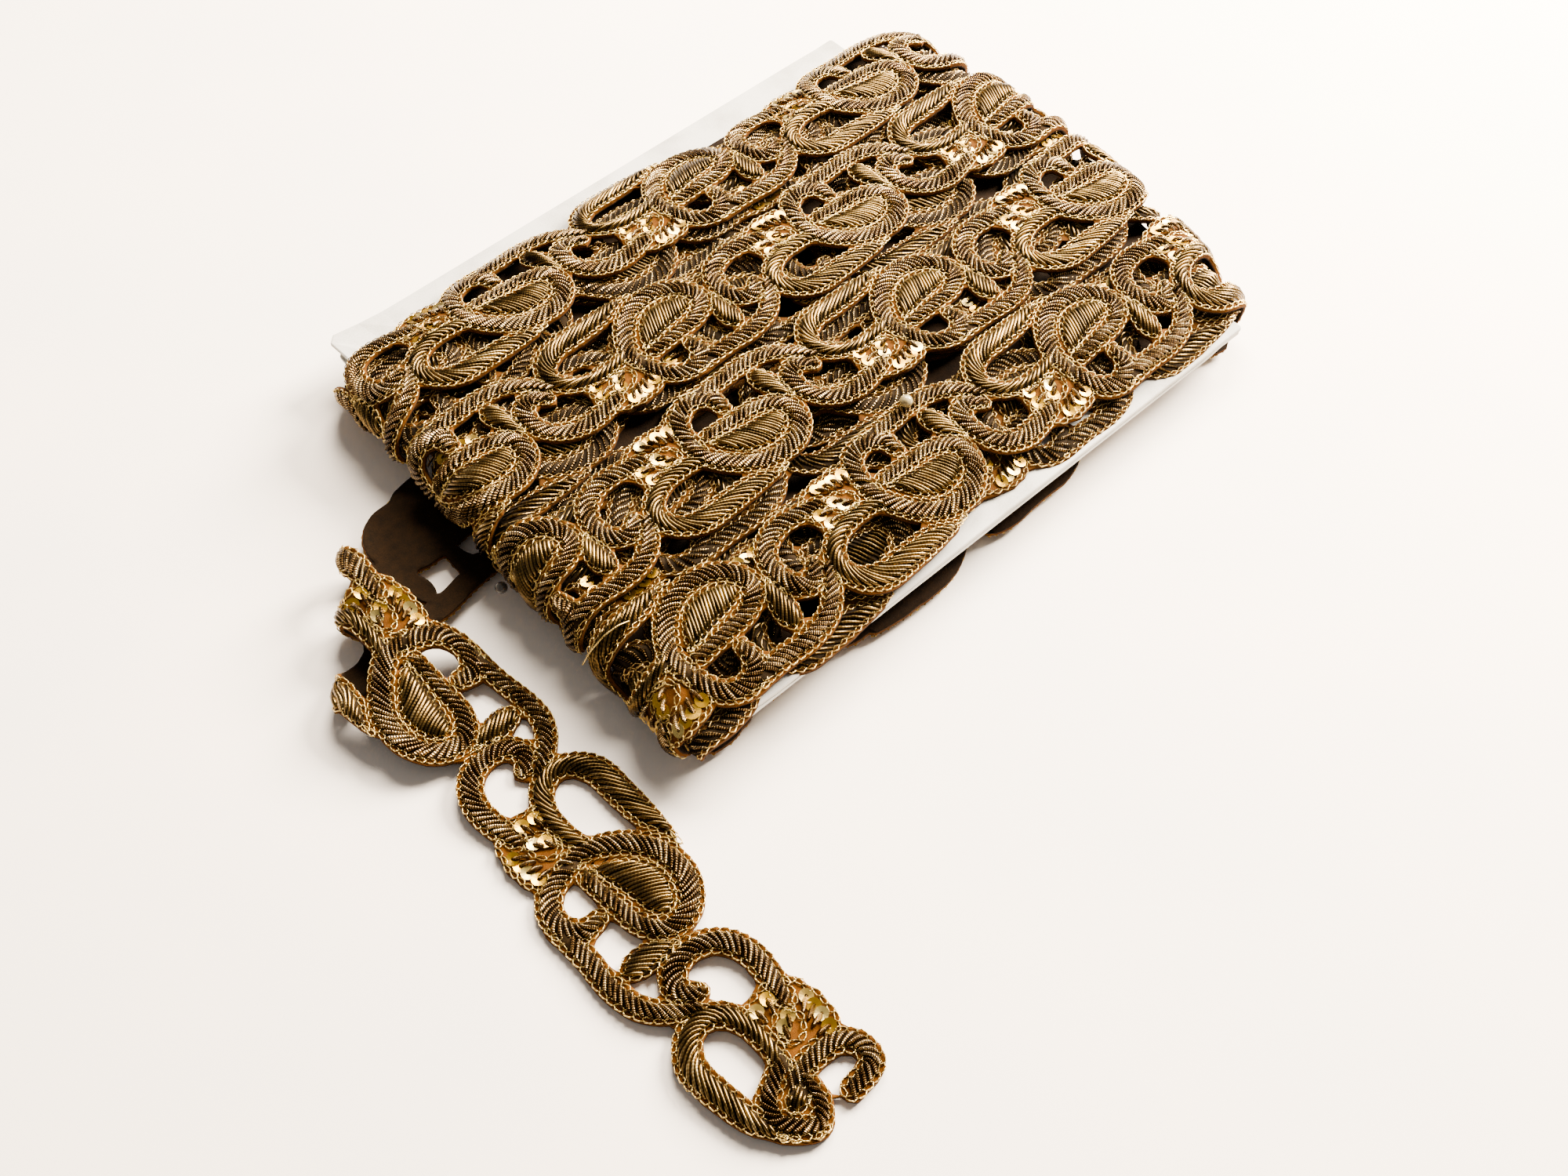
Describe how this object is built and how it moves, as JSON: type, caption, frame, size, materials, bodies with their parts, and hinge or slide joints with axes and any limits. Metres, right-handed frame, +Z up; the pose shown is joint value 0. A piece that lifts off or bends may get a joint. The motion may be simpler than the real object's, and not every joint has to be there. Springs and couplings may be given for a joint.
{
  "type": "sequin trim",
  "caption": "Openwork scroll-pattern embroidered trim with sequins, wound on a flat card, with its loose end folded over and laid out flat.",
  "frame": {"origin": "on the surface it rests on, under the middle of the winding", "axes": "+Z up; +X the way the trim is wound, away from the loose end; +Y across the rows, away from where the loose end lies"},
  "size_m": [0.3307, 0.2895, 0.0255],
  "materials": {
    "trim": "metallic bullion and chain stitch on felt",
    "inner_trim": "metallic bullion and chain stitch on felt, in shade",
    "card": "matt white folded board"
  },
  "bodies": {
    "root": {"card": "card", "inner_turns": "inner_trim", "outer_turn_1": "trim", "outer_turn_2": "trim", "outer_turn_3": "trim", "outer_turn_4": "trim", "loose_end": "trim"}
  },
  "joints": []
}
